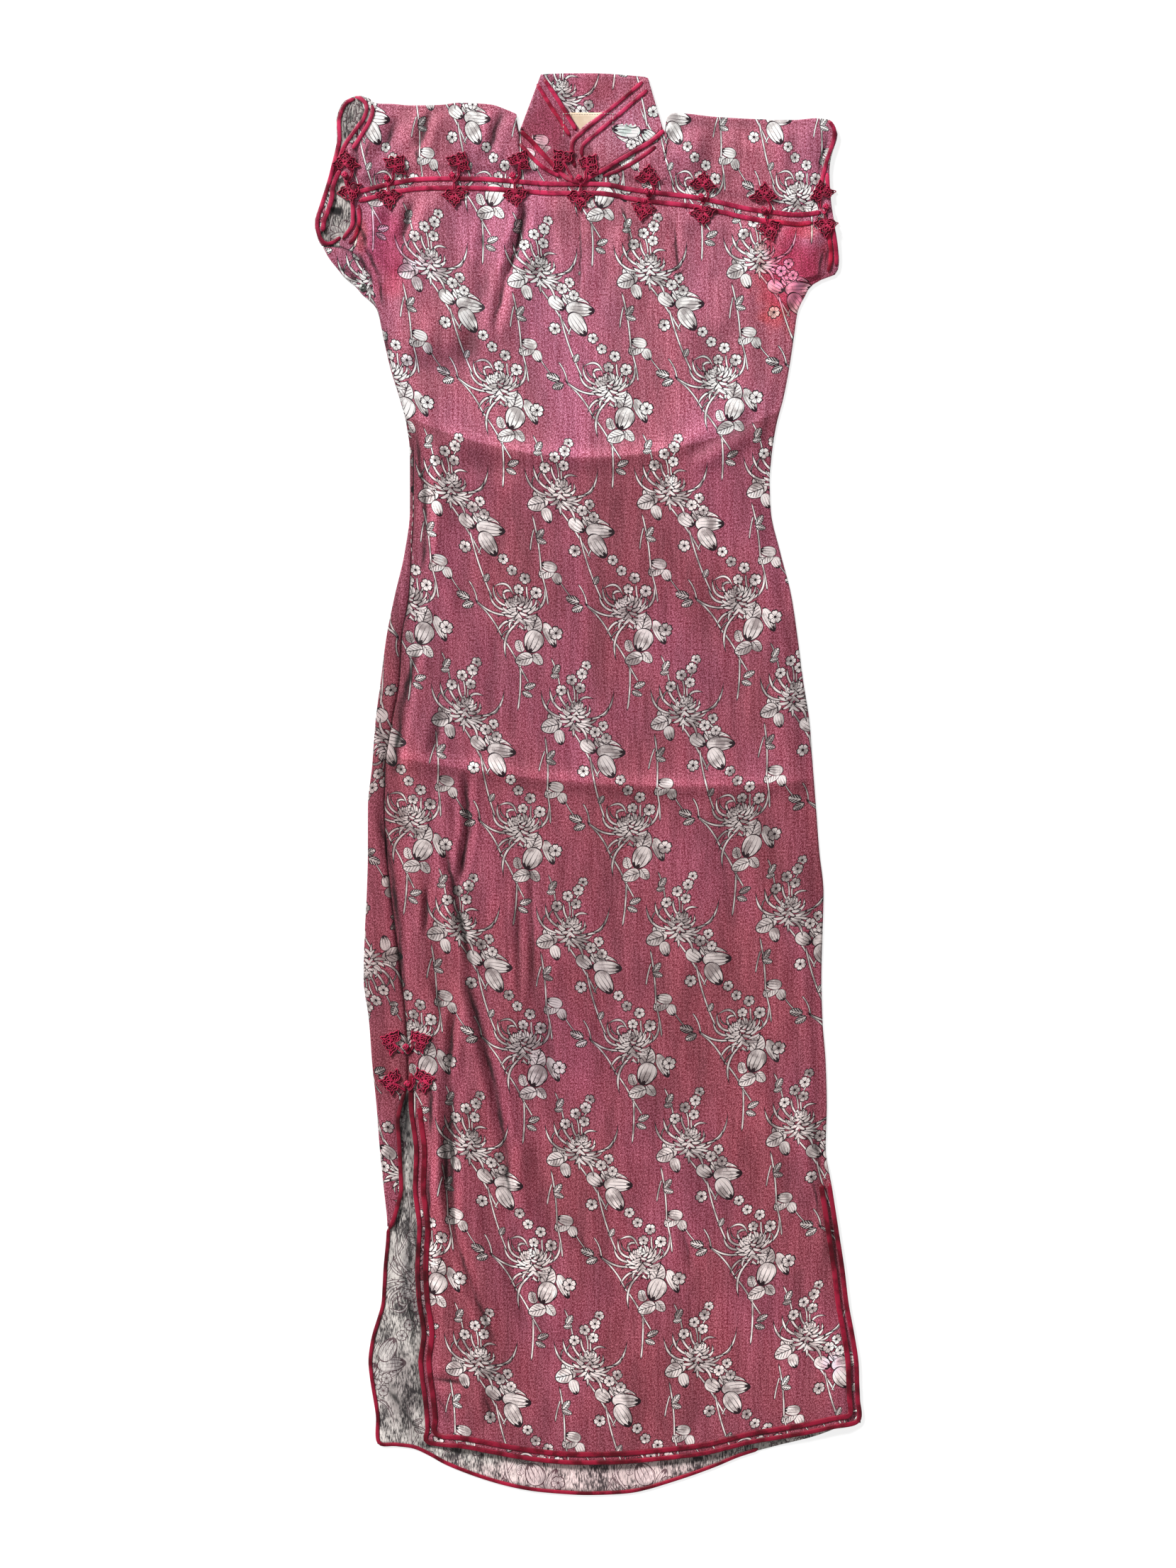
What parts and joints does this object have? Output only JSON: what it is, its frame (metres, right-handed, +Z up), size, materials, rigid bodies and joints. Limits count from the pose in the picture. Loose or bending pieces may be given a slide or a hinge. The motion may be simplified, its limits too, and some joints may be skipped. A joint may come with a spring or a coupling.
{
  "type": "cheongsam dress",
  "caption": "Full-length cheongsam laid flat, front up: stand collar, cap sleeves, straight piped opening with frogs, side slits, curved hem.",
  "frame": {"origin": "on the surface the dress lies on, under the middle of its outline", "axes": "+X to the viewer's right across the dress, +Y from hem to collar, +Z up out of the surface, front of the dress facing +Z"},
  "size_m": [0.506, 1.3178, 0.0095],
  "materials": {
    "silk": "rose satin-ground brocade with white flowers, marled grey reverse",
    "piping": "crimson satin",
    "frog_cord": "deep red covered cord",
    "label": "plain cream woven tape, blank",
    "snap": "dull dark metal"
  },
  "bodies": {
    "root": {"back": "silk", "back_piping": "piping", "collar": "silk", "collar_frog_loop": "frog_cord", "collar_piping_edge_left": "piping", "collar_piping_edge_right": "piping", "collar_piping_inner_left": "piping", "collar_piping_inner_right": "piping", "cuff_piping_back_left": "piping", "cuff_piping_front_left": "piping", "cuff_piping_front_left_inner": "piping", "cuff_piping_front_right": "piping", "cuff_piping_front_right_inner": "piping", "cuff_piping_yoke_left": "piping", "cuff_piping_yoke_left_inner": "piping", "cuff_piping_yoke_right": "piping", "cuff_piping_yoke_right_inner": "piping", "frog_1_knot": "frog_cord", "frog_1_loop": "frog_cord", "frog_2_knot": "frog_cord", "frog_2_loop": "frog_cord", "frog_3_knot": "frog_cord", "frog_3_loop": "frog_cord", "frog_4_knot": "frog_cord", "frog_4_loop": "frog_cord", "frog_5_knot": "frog_cord", "frog_5_loop": "frog_cord", "frog_6_knot": "frog_cord", "frog_6_loop": "frog_cord", "frog_7_knot": "frog_cord", "frog_7_loop": "frog_cord", "frog_8_knot": "frog_cord", "frog_8_loop": "frog_cord", "frog_9_knot": "frog_cord", "frog_9_loop": "frog_cord", "front": "silk", "label": "label", "neck_piping_inner": "piping", "neck_piping_outer_left": "piping", "neck_piping_outer_right": "piping", "skirt_piping_edge": "piping", "skirt_piping_inner": "piping", "slit_frog_1_knot": "frog_cord", "slit_frog_1_loop": "frog_cord", "slit_frog_2_knot": "frog_cord", "slit_frog_2_loop": "frog_cord", "slit_piping_back": "piping", "underarm_snap": "snap", "waist_snap": "snap", "yoke": "silk", "yoke_piping_edge": "piping", "yoke_piping_inner": "piping"}
  },
  "joints": []
}
